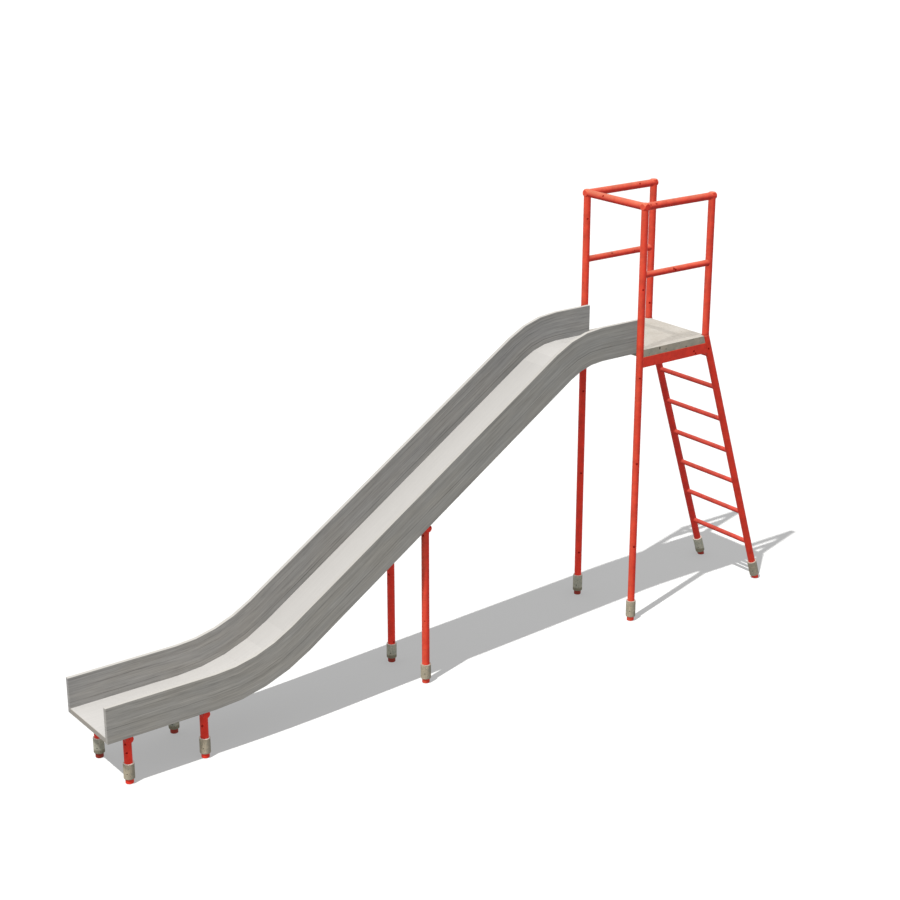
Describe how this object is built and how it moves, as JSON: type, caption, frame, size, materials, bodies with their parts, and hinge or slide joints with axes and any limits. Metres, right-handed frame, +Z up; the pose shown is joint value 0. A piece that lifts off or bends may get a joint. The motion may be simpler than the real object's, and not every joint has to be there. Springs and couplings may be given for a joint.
{
  "type": "playground slide",
  "caption": "Playground slide: a red tube frame with a sloping ladder and a railed platform carries a straight grey channel chute with a level run-out.",
  "frame": {"origin": "on the ground, under the middle of the whole slide's length and width", "axes": "+Z up, +X from the run-out towards the ladder, +Y to the right hand of a rider going down"},
  "size_m": [5.3738, 0.6464, 3.0101],
  "materials": {
    "red_paint": "glossy orange-red paint with small chips",
    "side_steel": "mid-grey with long fine streaks along the chute",
    "bed_steel": "smooth off-white, faintly mottled",
    "board": "pale cast stone, grey-green and pitted on its edges",
    "sleeve": "weathered grey-beige casting, mottled"
  },
  "bodies": {
    "root": {"chute_bed": "bed_steel", "chute_side_left": "side_steel", "chute_side_right": "side_steel", "front_post_left": "red_paint", "front_post_right": "red_paint", "rear_post_left": "red_paint", "rear_post_right": "red_paint", "ladder_rail_left": "red_paint", "ladder_rail_right": "red_paint", "rung_1": "red_paint", "rung_2": "red_paint", "rung_3": "red_paint", "rung_4": "red_paint", "rung_5": "red_paint", "rung_6": "red_paint", "rung_7": "red_paint", "top_rail_front": "red_paint", "top_rail_left": "red_paint", "top_rail_right": "red_paint", "mid_rail_left": "red_paint", "mid_rail_right": "red_paint", "platform_board": "board", "platform_bearer_left": "red_paint", "platform_bearer_right": "red_paint", "cross_tube_mid": "red_paint", "cross_tube_low_rear": "red_paint", "cross_tube_low_front": "red_paint", "mid_post_left": "red_paint", "mid_post_right": "red_paint", "low_rear_post_left": "red_paint", "low_rear_post_right": "red_paint", "low_front_post_left": "red_paint", "low_front_post_right": "red_paint", "front_sleeve_left": "sleeve", "front_sleeve_right": "sleeve", "ladder_sleeve_left": "sleeve", "ladder_sleeve_right": "sleeve", "mid_sleeve_left": "sleeve", "mid_sleeve_right": "sleeve", "low_rear_sleeve_left": "sleeve", "low_rear_sleeve_right": "sleeve", "low_front_sleeve_left": "sleeve", "low_front_sleeve_right": "sleeve"}
  },
  "joints": []
}
